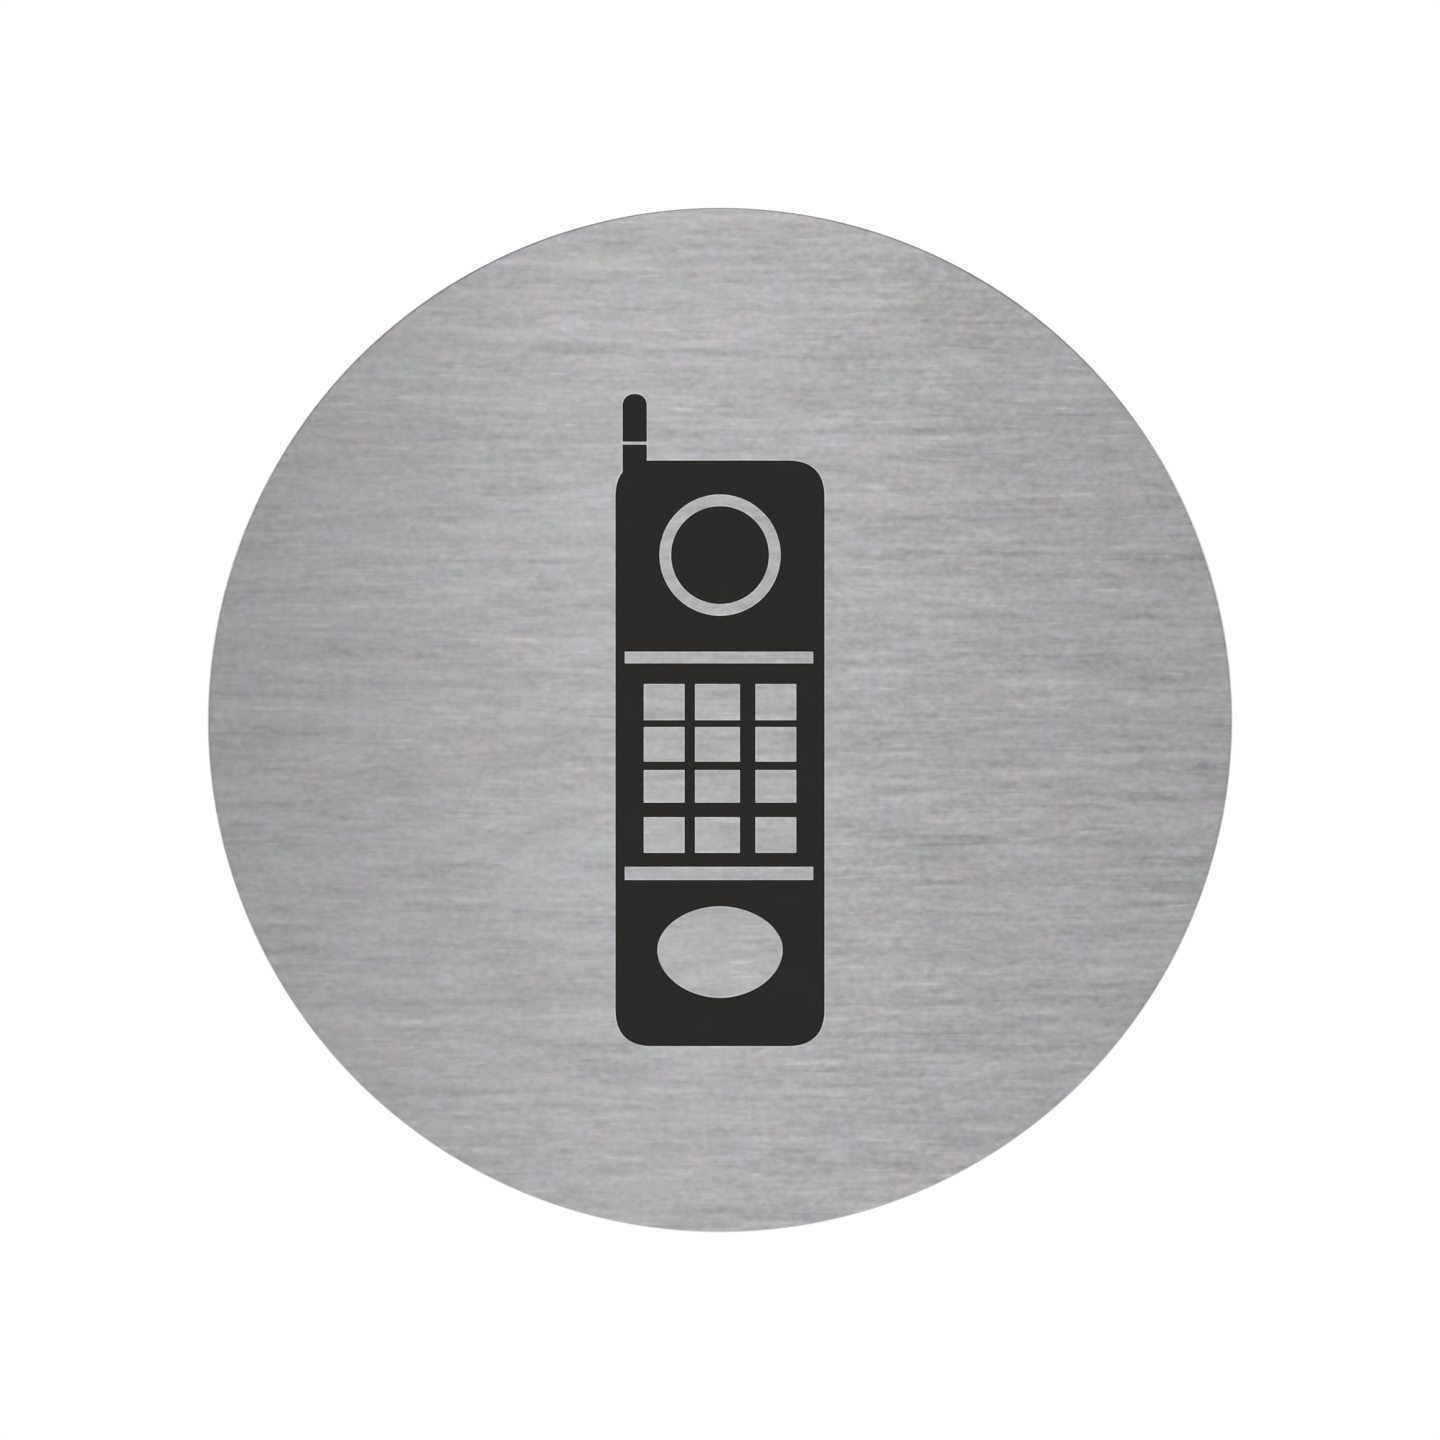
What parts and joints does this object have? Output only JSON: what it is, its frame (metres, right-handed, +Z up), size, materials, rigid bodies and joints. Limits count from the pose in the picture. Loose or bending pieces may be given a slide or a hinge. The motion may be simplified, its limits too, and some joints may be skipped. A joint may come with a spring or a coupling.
{
  "type": "telephone door sign",
  "caption": "Round brushed steel door sign with an etched, black-filled handset symbol, fixed to a door or wall by a foam pad on its back.",
  "frame": {"origin": "centre of the foam pad's back face, which lies on the door", "axes": "+Y into the door along the disc's axis, so the face looks along -Y; +Z up the symbol; +X to the reader's right"},
  "size_m": [0.1, 0.0023, 0.1],
  "materials": {
    "brushed_steel": "satin",
    "black_enamel": "satin",
    "foam": "matte"
  },
  "bodies": {
    "root": {"disc": "brushed_steel", "handset_enamel": "black_enamel", "antenna_tip_enamel": "black_enamel", "earpiece_enamel": "black_enamel", "foam_pad": "foam"}
  },
  "joints": []
}
